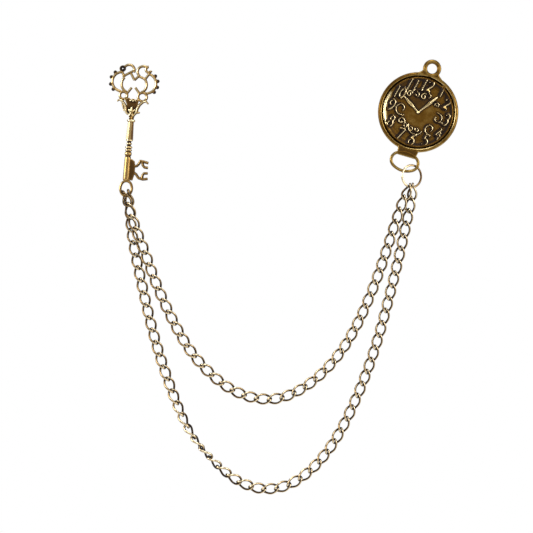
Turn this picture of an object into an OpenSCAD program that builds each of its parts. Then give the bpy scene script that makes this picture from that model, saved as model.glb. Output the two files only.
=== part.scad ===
// Lapel chain: a watch charm and a key charm on pins, joined by two hanging strands of twisted links.
// Everything is drawn face up: X to the right, Y up the coat and Z out of the cloth towards the viewer.
// The last step, stand(), turns the drawing upright, so the cloth is the plane Y = 0 and the face looks
// along -Y. The origin is the centre of the watch charm on the cloth. All sizes are in millimetres.

/* [Watch charm] */
// Diameter of the round watch charm over its rim
watch_d = 25; // [24:0.5:26]
// Thickness of the plate that carries the dial
watch_plate = 1.1; // [0.9:0.1:1.4]
// Width of the raised round rim
rim_w = 1.5; // [1.3:0.1:1.7]
// Height of numerals, scrolls and hands above the dial
relief_h = 0.45; // [0.3:0.05:0.6]
// Clockwise lean of the watch charm, in degrees
watch_lean = 16.5; // [16:0.5:17]
// Height of the numerals
numeral_h = 3.4; // [3.1:0.1:3.5]
// Stroke width of the numerals
numeral_stroke = 0.55; // [0.45:0.05:0.6]
// Lean of the numerals, in degrees
numeral_slant = 12; // [0:1:15]
// Distance of the numerals from the centre of the dial
numeral_r = 8.9; // [8.7:0.1:9]
// Hole in the lug at the top of the watch charm
lug_bore_d = 3.3; // [3:0.1:3.4]

/* [Key charm] */
// Clockwise lean of the key charm, in degrees
key_lean = 5; // [4.5:0.5:5.5]
// Thickness of the pierced bow and of the bit
key_plate = 1.3; // [1.1:0.1:1.5]
// Width of the scroll bars in the bow
bow_bar = 0.62; // [0.55:0.01:0.7]
// Diameter of the round stem below the ball
stem_d = 1.95; // [1.7:0.05:2.1]

/* [Chain] */
// Diameter of the link wire
link_wire = 0.63; // [0.6:0.01:0.64]
// Largest distance between the centres of neighbouring links
link_pitch = 4.05; // [4.02:0.01:4.08]
// Outside width of a link
link_width = 3.42; // [3.3:0.02:3.5]
// Free play between two links along the strand
link_play = 0.22; // [0.21:0.01:0.24]
// Turn of each end of a link out of its own plane, in degrees
link_twist = -45; // [-46:1:-44]

/* [Jump ring] */
// Diameter of the jump ring at the middle of its wire
jump_d = 6.9; // [6.8:0.1:7]
// Wire of the jump ring
jump_wire = 0.65; // [0.6:0.01:0.68]
// Turn of the jump ring about its upright axis, in degrees
jump_turn = 28; // [26:1:30]

/* [Pins] */
// Diameter of each pin's post
post_d = 1.1; // [0.9:0.1:1.3]
// Length of each pin's post behind the cloth plane
post_l = 8; // [6:1:10]
// Thickness of the pads that carry the posts
pad_t = 0.8; // [0.7:0.1:0.9]
// Diameter of the pad behind the watch charm
watch_pad_d = 8; // [6:1:10]
// Diameter of the pad behind the key charm
key_pad_d = 3.4; // [3:0.2:3.6]

/* [Hidden] */
bronze = "darkgoldenrod";

// Depths above the cloth
fit_gap = 0.05;
back_z = pad_t + fit_gap;
dial_z = back_z + watch_plate;
rim_z = back_z + 0.9;
hang_z = back_z + 1.15;
bow_z = back_z + key_plate / 2;

// Watch charm: lug, tab and oval bow, in the charm's own upright frame
rim_r = (watch_d - rim_w) / 2;
lug_x = 0.3;
lug_y = watch_d / 2 + 1.77;
lug_r = lug_bore_d / 2 + 1.15;
lug_t = 1.3;
tab_y = -watch_d / 2 - 1.85;
bail_x = 0.3;
bail_y = -watch_d / 2 - 3.5;
bail_half_w = 4.3;
bail_half_h = 2.9;
bail_end_r = 2.35;
bail_wire = 0.75;
hour_len = 6.1;
hour_angle = 148.6;
minute_len = 8.4;
minute_angle = 54;

// Scrolls of the dial: [centre x, centre y, first radius, last radius, first angle, last angle]
dial_scrolls = [
    [-4.35, 4.75, 1.05, 0.3, 20, 400],
    [-2.0, 5.1, 0.95, 0.3, 130, -150],
    [0.25, 5.1, 1.1, 0.3, 60, 400],
    [1.75, 5.6, 0.75, 0.35, 110, -70],
    [-5.5, -0.3, 2.2, 0.6, 310, -60],
    [-4.5, -4.1, 1.3, 0.35, -30, 330],
    [-2.9, -5.2, 0.75, 0.3, 100, -160],
    [0.5, -4.6, 2.45, 2.35, 172, 338],
    [-0.8, -5.7, 0.8, 0.25, 200, -90],
    [1.15, -5.4, 0.8, 0.25, 150, 440],
    [4.85, -4.1, 1.75, 0.5, 280, -90],
    [6.2, -0.3, 1.75, 0.5, 115, -235],
    [5.0, 3.7, 0.85, 0.3, 200, -120],
    [0, 0, 7, 7, 76, 118]
];
scroll_wide = 0.52;
scroll_fine = 0.38;

// Key charm, in its own upright frame with the origin in the middle of the collar
key_x = -89.7;
key_y = -2.7;
// Bars of the bow: [centre x, centre y, first radius, last radius, first angle, last angle]
bow_bars = [
    [-3.95, 12.0, 3.0, 3.0, 98, 264],
    [3.65, 12.05, 3.1, 3.1, -85, 80],
    [-1.25, 11.45, 2.75, 2.75, 137, 232],
    [1.1, 11.45, 2.75, 2.75, -50, 50],
    [-4.05, 16.1, 0.8, 0.8, 0, 360],
    [-1.95, 15.75, 1.75, 1.6, 150, -60],
    [2.35, 15.5, 1.95, 1.6, 42, 232],
    [4.08, 16.4, 0.95, 0.8, 95, 345],
    [-3.1, 7.75, 1.15, 1.15, 0, 360],
    [2.85, 7.75, 1.35, 1.35, 0, 360]
];
// Straight bars of the bow: [first x, first y, last x, last y]
bow_struts = [
    [-4.3, 15.3, -3.2, 13.5],
    [-3.45, 13.4, -1.2, 14.7],
    [-1.5, 14.5, 0.05, 12.75],
    [0.05, 12.75, 1.3, 14.3],
    [1.1, 14.15, 3.2, 13.4],
    [3.2, 13.3, 4.5, 15.4],
    [-2.75, 9.4, -2.3, 8.6],
    [2.75, 9.5, 2.2, 8.8],
    [-1.95, 8.6, -0.75, 10.4],
    [1.85, 8.75, 0.35, 10.5],
    [-4.6, 9.15, -3.6, 8.6],
    [4.1, 9.1, 3.6, 8.7]
];
// Outer beads of the bow: how far they stand from their arc, and their angles on it
bead_out = 0.6;
bead_d = 1.0;
left_beads = [130, 161, 197, 226];
right_beads = [44, 16, -14, -42];
// Leaf ornament under the bow: outline of the solid middle and the two curling leaves
fleur = [
    [-2.6, 6.6], [-1.3, 7.2], [-0.7, 6.7], [0, 6.95], [0.8, 6.75], [1.9, 6.8],
    [1.5, 5.0], [1.15, 3.4], [1.2, 2.5], [0.75, 1.2], [0.6, 0.2], [-0.6, 0.2],
    [-0.75, 1.2], [-1.4, 2.5], [-1.45, 3.6], [-1.9, 5.2]
];
leaf_left = [[-4.9, 5.8], [-4.2, 6.35], [-3.4, 6.0], [-2.6, 5.1], [-2.05, 3.9], [-1.85, 2.7], [-1.2, 2.0]];
leaf_right = [[4.9, 5.7], [4.1, 6.45], [3.2, 6.2], [2.2, 5.2], [1.6, 3.9], [1.4, 2.8], [0.9, 2.0]];
leaf_tips = [[[-2.0, 3.6], [-2.75, 3.0]], [[1.2, 2.7], [2.5, 2.8]]];
leaf_wide = 0.85;
leaf_fine = 0.45;
fleur_hole = [0.55, 0.4];
// Turned profile of the key: [y, diameter], and the octagonal shaft between collar and ring
shaft_top = -0.4;
shaft_bottom = -5.9;
shaft_top_d = 1.7;
shaft_bottom_d = 2.2;
turned_rings = [[0, 2.3, 0.75], [-6.15, 2.05, 0.6], [-7.4, 1.75, 0.5], [-8.45, 2.3, 0.55], [-9.25, 2.1, 0.5]];
neck_d = 1.35;
ball_y = -10.4;
ball_d = 2.2;
stem_bottom = -18.9;
turned_z = back_z + 1.12;
end_ring_x = 0.28;
end_ring_y = -21.15;
end_ring_half_w = 1.8;
end_ring_half_h = 2.3;
end_ring_end_r = 1.6;
end_ring_wire = 0.66;
// Bit: outline of the root plate, then arms as lists of points
bit_plate = [
    [0.4, -11.9], [1.3, -11.9], [2.2, -12.5], [2.45, -14.0], [2.5, -16.3], [1.95, -18.5], [0.7, -18.5]
];
bit_arms = [
    [[2.1, -14.1], [3.0, -13.9], [3.6, -13.2], [4.0, -12.3]],
    [[3.7, -12.25], [4.9, -12.35], [6.5, -12.7]],
    [[4.6, -12.4], [4.85, -13.5], [5.4, -14.1], [6.5, -14.2]],
    [[2.2, -16.0], [3.0, -16.5], [3.6, -17.3], [4.0, -17.7]],
    [[3.8, -17.6], [5.2, -17.9], [6.7, -17.6]],
    [[4.9, -17.7], [5.0, -16.7], [5.4, -16.0], [6.6, -15.9]]
];
bit_bar = 0.75;

// Jump ring, through the oval bow
jump_x = -2.05;
jump_y = -20.0;

// Strands, from the key to the watch: [x, y, height above the cloth, roll of the links in degrees]
short_route = [
    [-91.25, -26.95, 2.5, 45],
    [-89.95, -30.9, 3.5, 29],
    [-88.6, -35.0, 3.9, 10],
    [-87.1, -39.2, 3.6, 0],
    [-85.4, -43.6, 2.9, 0],
    [-82.4, -52.2, 1.8, 0],
    [-79.1, -60.0, 1.8, 8],
    [-75.4, -67.5, 1.8, 0],
    [-71.1, -74.6, 1.8, -10],
    [-65.7, -80.9, 1.8, 0],
    [-59.3, -86.0, 1.8, 5],
    [-51.9, -89.1, 1.8, 0],
    [-43.9, -89.4, 1.8, 0],
    [-36.2, -86.3, 1.8, -8],
    [-29.5, -81.0, 1.8, 0],
    [-24.0, -74.6, 1.8, 5],
    [-19.6, -67.3, 1.8, 0],
    [-16.1, -59.8, 1.8, -12],
    [-13.0, -52.1, 1.9, -5],
    [-10.3, -44.3, 2.0, -10],
    [-7.8, -36.5, 2.1, -22],
    [-5.2, -28.7, 2.6, -30],
    [-3.45, -24.8, 2.4, -42]
];
long_route = [
    [-90.35, -26.8, 1.75, 45],
    [-90.2, -30.9, 1.3, 28],
    [-89.8, -35.1, 1.1, 12],
    [-89.2, -39.7, 1.05, 0],
    [-88.4, -44.2, 1.2, 0],
    [-86.6, -52.7, 1.7, 0],
    [-84.8, -60.7, 1.8, -5],
    [-82.9, -68.5, 1.8, 0],
    [-80.7, -76.1, 1.8, -10],
    [-78.1, -83.8, 1.9, -18],
    [-75.2, -91.4, 1.9, -35],
    [-71.8, -98.7, 1.9, -62],
    [-67.1, -105.5, 1.9, -96],
    [-61.5, -111.4, 1.9, -130],
    [-54.9, -115.9, 1.8, -158],
    [-47.4, -117.7, 1.8, -174],
    [-39.9, -116.1, 1.8, -180],
    [-33.4, -111.6, 1.8, -176],
    [-28.1, -105.6, 1.8, -180],
    [-23.8, -98.7, 1.8, -186],
    [-20.3, -91.5, 1.8, -180],
    [-17.1, -83.9, 1.8, -178],
    [-14.3, -76.2, 1.8, -180],
    [-11.9, -68.4, 1.8, -184],
    [-9.8, -60.6, 1.75, -180],
    [-7.8, -52.7, 1.7, -182],
    [-5.9, -44.7, 1.6, -185],
    [-4.1, -36.7, 1.5, -190],
    [-2.5, -28.9, 1.6, -208],
    [-1.85, -24.85, 1.85, -222]
];
route_steps = 12;
link_sides = 12;
wire_sides = 6;
side_power = 0.85;
arc_overlap = 3;
wire_swell = 0.05;
link_half = (link_pitch + link_wire + link_play) / 2;
link_half_w = (link_width - link_wire) / 2;

// Points on an arc or spiral round [cx, cy], one for about every 24 degrees
function curl(cx, cy, r0, r1, a0, a1, squash = 1) =
    let (n = max(3, ceil(abs(a1 - a0) / 24)))
    [for (i = [0:n])
        let (a = a0 + (a1 - a0) * i / n, r = r0 + (r1 - r0) * i / n)
        [cx + r * cos(a), cy + r * sin(a) * squash]];

function unit(v) = v / norm(v);

// Direction of a run of points at point i, where a closed run ends on its first point
function heading(p, i, closed) =
    let (last = len(p) - 1)
    closed && (i == 0 || i == last) ? unit(p[1] - p[last - 1])
    : unit(p[min(i + 1, last)] - p[max(i - 1, 0)]);

function offset_run(p, w0, w1, side, closed) =
    let (last = len(p) - 1)
    [for (i = [0:last])
        let (d = heading(p, i, closed), w = w0 + (w1 - w0) * i / last)
        p[i] + side * w / 2 * [-d[1], d[0]]];

// Flat bar along a run of points, w0 wide at its start and w1 at its end
module bar(p, w0, w1) {
    polygon(concat(offset_run(p, w0, w1, 1, false), reversed(offset_run(p, w0, w1, -1, false))));
}

module closed_bar(p, w) {
    difference() {
        polygon(offset_run(p, w, w, -1, true));
        polygon(offset_run(p, w, w, 1, true));
    }
}

function reversed(p) = [for (i = [len(p) - 1:-1:0]) p[i]];

// Strokes of one numeral in a cell one unit high, and its closed loops
function strokes(n) =
    n == 1 ? [[[-0.14, 0.3], [0.04, 0.5]], [[0.04, 0.5], [0.04, -0.5]]] :
    n == 2 ? [curl(0, 0.24, 0.24, 0.24, 165, -40), [[0.2, 0.12], [-0.26, -0.44]],
        [[-0.28, -0.42], [0.28, -0.42]]] :
    n == 3 ? [curl(0, 0.24, 0.22, 0.22, 150, -80), curl(0, -0.22, 0.26, 0.26, 85, -150)] :
    n == 4 ? [[[0.1, 0.5], [-0.26, -0.14]], [[-0.3, -0.16], [0.3, -0.16]], [[0.12, 0.2], [0.12, -0.5]]] :
    n == 5 ? [[[0.24, 0.44], [-0.2, 0.44]], [[-0.17, 0.46], [-0.19, 0.02]],
        curl(-0.02, -0.18, 0.26, 0.26, 125, -140)] :
    n == 6 ? [curl(0.28, -0.14, 0.52, 0.6, 182, 98)] :
    n == 7 ? [[[-0.26, 0.42], [0.28, 0.42]], [[0.24, 0.44], [-0.1, -0.5]]] :
    n == 9 ? [curl(-0.28, 0.14, 0.52, 0.6, 2, -82)] :
    [];

function loops(n) =
    n == 0 ? [curl(0, 0, 0.22, 0.22, 0, 360, 1.9)] :
    n == 6 ? [curl(0, -0.2, 0.24, 0.24, 0, 360)] :
    n == 8 ? [curl(0, 0.25, 0.19, 0.19, 0, 360), curl(0, -0.21, 0.24, 0.24, 0, 360)] :
    n == 9 ? [curl(0, 0.2, 0.24, 0.24, 0, 360)] :
    [];

function lean(p) = [for (q = p) numeral_h * [q[0] + q[1] * tan(numeral_slant), q[1]]];

module numeral(n) {
    for (p = strokes(n)) {
        bar(lean(p), numeral_stroke, numeral_stroke);
    }
    for (p = loops(n)) {
        closed_bar(lean(p), numeral_stroke);
    }
}

// One hour mark: a single numeral, or a 1 with a second numeral beside it
module hour_mark(hour) {
    shift = 0.26 * numeral_h;
    if (hour < 10) {
        numeral(hour);
    } else {
        translate([-shift, 0]) numeral(1);
        translate([shift, 0]) numeral(hour - 10);
    }
}

module hand(length, angle, width) {
    rotate(angle) polygon([[-0.5, 0], [0.1, width / 2], [length * 0.45, width * 0.4],
        [length, 0.08], [length, -0.08], [length * 0.45, -width * 0.4], [0.1, -width / 2]]);
}

// Oval wire ring of four arcs, half_w by half_h at the middle of its wire, end_r at its narrow ends
module oval_ring(half_w, half_h, end_r, wire) {
    long_half = max(half_w, half_h);
    short_half = min(half_w, half_h);
    run = long_half - end_r;
    flank_r = (run * run + short_half * short_half - end_r * end_r) / (2 * (short_half - end_r));
    split = atan2(flank_r - short_half, run);
    rotate(half_w > half_h ? 0 : 90) {
        for (s = [0, 180]) {
            rotate(s) translate([run, 0, 0]) rotate(-split - arc_overlap)
                arc_wire(end_r, 2 * (split + arc_overlap), wire + wire_swell);
            rotate(s + 90) translate([-(flank_r - short_half), 0, 0]) rotate(split - 90)
                arc_wire(flank_r, 180 - 2 * split, wire);
        }
    }
}

module arc_wire(radius, sweep, wire) {
    rotate_extrude(angle = sweep, $fn = 64) translate([radius, 0]) circle(d = wire, $fn = 24);
}

// Turns the face-up drawing upright, with the cloth as the plane Y = 0
module stand() {
    rotate([90, 0, 0]) children();
}

module dial_relief() {
    for (hour = [1:12]) {
        translate([numeral_r * sin(30 * hour), numeral_r * cos(30 * hour)]) hour_mark(hour);
    }
    for (s = dial_scrolls) {
        bar(curl(s[0], s[1], s[2], s[3], s[4], s[5]), scroll_wide, scroll_fine);
    }
    hand(hour_len, hour_angle, 1.0);
    hand(minute_len, minute_angle, 0.85);
}

module watch_charm() color(bronze) stand() rotate(-watch_lean) {
    difference() {
        union() {
            translate([0, 0, back_z]) cylinder(h = watch_plate, d = watch_d - 0.6, $fn = 96);
            translate([0, 0, rim_z]) arc_ring(rim_r, rim_w);
            translate([lug_x, lug_y, hang_z - lug_t / 2]) cylinder(h = lug_t, r = lug_r, $fn = 64);
            translate([0, 0, hang_z - lug_t / 2]) linear_extrude(lug_t)
                polygon([[-4.2, 11.2], [-2.4, 13.2], [2.8, 13.2], [4.8, 11.0]]);
            translate([0, 0, back_z + 0.1]) linear_extrude(lug_t)
                polygon([[-3.0, -11.6], [3.6, -11.6], [3.25, tab_y], [-2.6, tab_y]]);
        }
        translate([lug_x, lug_y, 0]) cylinder(h = 3 * lug_t, d = lug_bore_d, $fn = 64);
    }
    translate([0, 0, dial_z - 0.2]) linear_extrude(relief_h + 0.2) dial_relief();
    translate([bail_x, bail_y, hang_z]) oval_ring(bail_half_w, bail_half_h, bail_end_r, bail_wire);
}

module arc_ring(radius, wire) {
    rotate_extrude($fn = 96) translate([radius, 0]) circle(d = wire, $fn = 24);
}

// Pad against the back of a charm, and a post with a tapered tip through the cloth
module pin(pad_d) {
    tip_l = 1.5;
    cylinder(h = pad_t, d = pad_d, $fn = 64);
    translate([0, 0, -post_l + tip_l]) cylinder(h = post_l - tip_l + 0.1, d = post_d, $fn = 48);
    translate([0, 0, -post_l]) cylinder(h = tip_l, d1 = 0.2, d2 = post_d, $fn = 48);
}

module watch_pin() color("silver") stand() pin(watch_pad_d);

module jump_ring() color(bronze) stand() translate([jump_x, jump_y, hang_z]) rotate([0, jump_turn, 0])
    arc_ring(jump_d / 2, jump_wire);

// A strand's route, as points on a smooth curve through the rows of its table
function blend(a, b, c, d, t) =
    0.5 * (2 * b + (c - a) * t + (2 * a - 5 * b + 4 * c - d) * t * t + (3 * b - a - 3 * c + d) * t * t * t);

function smooth_route(rows) =
    let (last = len(rows) - 1)
    [for (i = [0:last - 1], j = [0:route_steps - 1])
        blend(rows[max(i - 1, 0)], rows[i], rows[i + 1], rows[min(i + 2, last)], j / route_steps),
     rows[last]];

function place(row) = [row[0], row[1], row[2]];

function run_lengths(points, i = 0, sum = 0) =
    i == len(points) - 1 ? [sum]
    : concat([sum], run_lengths(points, i + 1, sum + norm(place(points[i + 1]) - place(points[i]))));

// The route's row at one distance along it, found between the points on either side
function row_at(points, lengths, distance, low, high) =
    high - low <= 1
    ? let (t = (distance - lengths[low]) / (lengths[high] - lengths[low]))
      points[low] + (points[high] - points[low]) * t
    : let (mid = floor((low + high) / 2))
      lengths[mid] > distance ? row_at(points, lengths, distance, low, mid)
      : row_at(points, lengths, distance, mid, high);

// Centre line of one link: an oval whose plane turns by link_twist from its middle to each end
function link_point(t) =
    let (x = link_half * cos(t),
         v = link_half_w * sign(sin(t)) * pow(abs(sin(t)), side_power),
         turn = link_twist * cos(t))
    [x, v * cos(turn), v * sin(turn)];

function link_section(t) =
    let (step = 360 / link_sides,
         p = link_point(t),
         along = unit(link_point(t + step / 2) - link_point(t - step / 2)),
         out = unit(cross(along, cross(p, along))),
         up = cross(along, out))
    [for (k = [0:wire_sides - 1])
        let (a = 360 * k / wire_sides)
        p + link_wire / 2 * (out * cos(a) + up * sin(a))];

module link() {
    sections = [for (i = [0:link_sides - 1]) each link_section(360 * i / link_sides)];
    total = link_sides * wire_sides;
    faces = [for (i = [0:link_sides - 1], k = [0:wire_sides - 1])
        let (next = (k + 1) % wire_sides, a = i * wire_sides, b = ((i + 1) * wire_sides) % total)
        each [[a + k, b + next, a + next], [a + k, b + k, b + next]]];
    polyhedron(points = sections, faces = faces);
}

module strand(rows) {
    points = smooth_route(rows);
    lengths = run_lengths(points);
    total = lengths[len(lengths) - 1];
    spaces = ceil(total / link_pitch);
    for (i = [0:spaces]) {
        distance = total * i / spaces;
        reach = link_pitch / 2;
        here = row_at(points, lengths, distance, 0, len(points) - 1);
        before = row_at(points, lengths, max(distance - reach, 0), 0, len(points) - 1);
        after = row_at(points, lengths, min(distance + reach, total), 0, len(points) - 1);
        d = place(after) - place(before);
        translate(place(here)) rotate([0, -atan2(d[2], norm([d[0], d[1]])), atan2(d[1], d[0])])
            rotate([here[3], 0, 0]) link();
    }
}

module chain_short() color(bronze) stand() strand(short_route);

module chain_long() color(bronze) stand() strand(long_route);

// Pierced scroll bow with its outer beads
module key_bow() {
    translate([0, 0, back_z]) linear_extrude(key_plate) {
        for (s = bow_bars) {
            points = curl(s[0], s[1], s[2], s[3], s[4], s[5]);
            if (s[5] - s[4] == 360) {
                closed_bar(points, bow_bar);
            } else {
                bar(points, bow_bar, bow_bar);
            }
        }
        for (s = bow_struts) {
            bar([[s[0], s[1]], [s[2], s[3]]], bow_bar, bow_bar);
        }
    }
    for (a = left_beads) {
        bead(bow_bars[0], a);
    }
    for (a = right_beads) {
        bead(bow_bars[1], a);
    }
}

module bead(arc, angle) {
    reach = arc[2] + bead_out;
    translate([arc[0] + reach * cos(angle), arc[1] + reach * sin(angle), bow_z]) sphere(d = bead_d, $fn = 24);
}

module key_leaves() {
    translate([0, 0, back_z]) linear_extrude(key_plate + 0.35) difference() {
        polygon(fleur);
        for (side = [-1, 1]) {
            translate([side * fleur_hole[0], 6.2]) square(2 * fleur_hole[1], center = true);
        }
    }
    translate([0, 0, back_z + 0.15]) linear_extrude(key_plate + 0.35) {
        bar(leaf_left, leaf_fine, leaf_wide);
        bar(leaf_right, leaf_fine, leaf_wide);
        for (tip = leaf_tips) {
            bar(tip, leaf_wide, leaf_fine);
        }
    }
}

// Collar, octagonal shaft, turned rings, ball and round stem, along the key's own axis
module key_shaft() {
    translate([0, 0, turned_z]) rotate([-90, 0, 0]) {
        translate([0, 0, shaft_bottom - 0.1]) cylinder(h = shaft_top - shaft_bottom + 0.2,
            d1 = shaft_bottom_d, d2 = shaft_top_d, $fn = 8);
        translate([0, 0, ball_y]) cylinder(h = -ball_y + 1.4, d = neck_d, $fn = 32);
        for (ring = turned_rings) {
            translate([0, 0, ring[0] - ring[2] / 2]) cylinder(h = ring[2], d = ring[1], $fn = 48);
        }
        translate([0, 0, ball_y]) sphere(d = ball_d, $fn = 48);
        translate([0, 0, stem_bottom]) cylinder(h = ball_y - stem_bottom, d = stem_d, $fn = 48);
    }
}

module key_bit() {
    translate([0, 0, back_z + 0.25]) linear_extrude(key_plate) {
        polygon(bit_plate);
        for (arm = bit_arms) {
            bar(arm, bit_bar, bit_bar);
        }
    }
}

module key_charm() color(bronze) stand() translate([key_x, key_y, 0]) rotate(-key_lean) {
    key_bow();
    key_leaves();
    key_shaft();
    key_bit();
    translate([end_ring_x, end_ring_y, turned_z])
        oval_ring(end_ring_half_w, end_ring_half_h, end_ring_end_r, end_ring_wire);
}

module key_pin() color("silver") stand() translate([key_x, key_y, 0]) rotate(-key_lean)
    translate([-0.1, 4.7, 0]) pin(key_pad_d);

watch_charm();
watch_pin();
jump_ring();
chain_short();
chain_long();
key_charm();
key_pin();
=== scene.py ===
"""Lapel chain in antique bronze: a watch charm and a key charm on pins, joined by two strands of links."""

import math

import bmesh
import bpy
import numpy as np
from mathutils import Matrix, Vector


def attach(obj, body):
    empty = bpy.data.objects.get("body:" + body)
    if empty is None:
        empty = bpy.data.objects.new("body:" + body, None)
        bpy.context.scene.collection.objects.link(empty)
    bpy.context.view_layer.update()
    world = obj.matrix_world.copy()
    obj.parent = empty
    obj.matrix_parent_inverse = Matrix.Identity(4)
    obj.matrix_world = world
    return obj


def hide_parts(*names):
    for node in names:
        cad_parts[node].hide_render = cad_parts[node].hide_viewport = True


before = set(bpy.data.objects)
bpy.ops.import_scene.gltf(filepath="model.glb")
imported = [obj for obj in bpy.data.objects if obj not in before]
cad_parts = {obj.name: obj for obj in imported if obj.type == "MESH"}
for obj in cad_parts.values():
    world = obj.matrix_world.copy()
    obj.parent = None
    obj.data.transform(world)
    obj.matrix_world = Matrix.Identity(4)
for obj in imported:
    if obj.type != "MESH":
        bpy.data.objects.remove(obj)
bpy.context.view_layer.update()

# Sizes in millimetres and angles in degrees, face up.
# Everything is shaped as it lies on a bench: X right, Y up the coat, Z out of the cloth. UPRIGHT turns it.
BACK = 0.85                     # back of both charms above the cloth
DIAL = BACK + 1.1               # floor of the dial
HANG = BACK + 1.15              # height of the oval bow and the jump ring
KEY_AXIS = BACK + 1.12          # height of the key's turned parts
BOW_MID = BACK + 0.65           # middle of the key's pierced bow

WATCH_LEAN = 16.5               # how far each charm leans to the right
KEY_LEAN = 5.0

NUMERAL_HEIGHT = 3.7
NUMERAL_WIDTH = 0.9             # how wide the figures are, as a share of how they are drawn
NUMERAL_SLANT = math.tan(math.radians(12))
FIGURE_SHIFT = 0.26             # how far the figures of 10, 11 and 12 stand from their middle, in heights
NUMERAL_STROKE = 0.5            # radius of a stroke

LINK_PITCH = 4.05               # the most that two links are apart
LINK_WIRE = 0.67
END_STOUT = 0.07                # how much stouter the wire is at a link's ends
LINK_HALF = 2.55                # half the length and half the width of a link, to the middle of its wire
LINK_HALF_WIDE = 1.47
LINK_SQUARE = 0.9               # power below 1 that makes a link fuller than an ellipse
LINK_TWIST = -57.0
LINK_SLANT = 5.0                # how far each link leans across its strand

# Wear runs from 0 in hollows to 1 on rubbed edges, with painted light and shade added to it. First come
# the wear and painted light of the links and what changes them.
PLAIN_WIRE = 0.56
OUTER_RUB_INNER_SHADE = 0.7                 # how much brighter the outside of a link's wire is than its inside: rubbed outside, painted shade inside
FRONT_PAINTED_HIGHLIGHT = 0.4                 # painted highlight on a link's end where it lies in front
WIRE_LEFT_PAINTED_LIGHT = 0.26                 # painted light: how much brighter the wire is on its left than on its right
LINK_SIDE_PAINTED_LIGHT = 0.1                # painted light on a link's left wire, and painted shade on its right
SIDE_PAINTED_SHADE = 0.34                # painted shade: how much duller the left and right sides of the wire are than its front
LEVEL_PAINTED_LIGHT = 0.2                 # painted light on its upper and lower sides
END_PAINTED_SHADE = 1.4                  # painted shade on the sides of the wire at a link's ends
JOINT_PAINTED_SHADE = 0.8                # painted shade on a link's end where it lies behind
INNER_PAINTED_SHADE = 1.6                # painted shade on the wire where the next link sits in its end
IN_FRONT = (0.2, 0.6)           # heights over a link's middle between which its end comes to lie in front
BEHIND = (0.15, -0.15)          # and between which it comes to lie behind
FIRST_WEAR = 0.64               # even wear of the first link of a strand, which lies in the key's end ring
FIRST_END = 0.2                 # how far all of it counts as an end

# Then the wear of the castings, from how proud a point is close by and further off.
EDGE_DEPTH = 0.1
HOLLOW_DEPTH = 0.6
NEAR_ROUNDS = 10                # rounds of averaging that show the form close by and further off
FAR_ROUNDS = 70
BLUR_ROUNDS = 3                 # rounds that blur the wear itself
OWN_SHARE = 0.3                 # what a point keeps of its own value in each round
HOLLOW_LIMITS = (-0.5, 0.12)    # how far the form further off can darken and brighten

FULL_TURN = 2 * math.pi
SAME_POINT = 1e-5               # distance within which points are merged
METRE = 1000
UPRIGHT = Matrix.Scale(1 / METRE, 4) @ Matrix.Rotation(math.radians(90), 4, "X")
WATCH_PLACE = Matrix.Rotation(math.radians(-WATCH_LEAN), 4, "Z")
# The key's own zero is where its neck meets its leaves.
KEY_PLACE = Matrix.Translation((-89.7, -2.7, 0)) @ Matrix.Rotation(math.radians(-KEY_LEAN), 4, "Z")


def turned(point, degrees):
    """A point of the drawing, turned round its zero."""
    a = math.radians(degrees)
    return Vector((point[0] * math.cos(a) - point[1] * math.sin(a),
                   point[0] * math.sin(a) + point[1] * math.cos(a)))


def ramp(value, start, end):
    """0 up to start, rising to 1 at end."""
    return np.clip((value - start) / (end - start), 0, 1)


# Strokes and solids.
def curl(x, y, first_r, last_r, first_angle, last_angle, tall=1.0, step=14):
    """Points on an arc or spiral round (x, y)."""
    count = max(4, math.ceil(abs(last_angle - first_angle) / step))
    points = []
    for i in range(count + 1):
        t = i / count
        a = math.radians(first_angle + (last_angle - first_angle) * t)
        r = first_r + (last_r - first_r) * t
        points.append(Vector((x + r * math.cos(a), y + r * math.sin(a) * tall, 0)))
    return points


def section_frame(points, i):
    """Place of a rod's section at one of its points: X to the side, Y up and Z along the rod."""
    last = len(points) - 1
    along = (points[min(i + 1, last)] - points[max(i - 1, 0)]).normalized()
    side = Vector((0, 0, 1)).cross(along).normalized()
    up = along.cross(side)
    place = Matrix((side, up, along)).transposed().to_4x4()
    place.translation = points[i]
    return place


def of_kind(geom, kind):
    return [g for g in geom if isinstance(g, kind)]


def rod(bm, points, radius, tall=1.0, sides=8):
    """A closed rod along a run of points, with one radius or a list of them, and one flat on top. tall
    stretches it in Z."""
    radii = radius if isinstance(radius, list) else [radius] * len(points)
    flat_up = Matrix.Rotation(math.pi / sides, 4, "Z")
    here = section_frame(points, 0) @ Matrix.Diagonal((radii[0], radii[0] * tall, 1, 1)) @ flat_up
    start = bmesh.ops.create_circle(bm, cap_ends=True, segments=sides, radius=1, matrix=here)
    face = start["verts"][0].link_faces[0]
    for i in range(1, len(points)):
        there = section_frame(points, i) @ Matrix.Diagonal((radii[i], radii[i] * tall, 1, 1)) @ flat_up
        pulled = bmesh.ops.extrude_face_region(bm, geom=[face])["geom"]
        face = of_kind(pulled, bmesh.types.BMFace)[0]
        bmesh.ops.transform(bm, matrix=there @ here.inverted(), verts=face.verts)
        here = there


def lifted(points, z):
    return [Vector((p[0], p[1], z)) for p in points]


def swell(count, ends, middle, where):
    """Radii that grow from ends to middle and shrink again, fattest at the fraction where."""
    out = []
    for i in range(count):
        t = i / (count - 1)
        u = t / where if t < where else (1 - t) / (1 - where)
        out.append(ends + (middle - ends) * math.sin(u * math.pi / 2))
    return out


def ball(bm, x, y, z, radius):
    place = Matrix.Translation((x, y, z))
    bmesh.ops.create_uvsphere(bm, u_segments=16, v_segments=10, radius=radius, matrix=place)


def slab(bm, outline, low, high):
    """A flat plate with the given outline, from low to high."""
    face = bm.faces.new([bm.verts.new((p[0], p[1], low)) for p in outline])
    pulled = bmesh.ops.extrude_face_region(bm, geom=[face])["geom"]
    bmesh.ops.translate(bm, vec=(0, 0, high - low), verts=of_kind(pulled, bmesh.types.BMVert))


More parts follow.
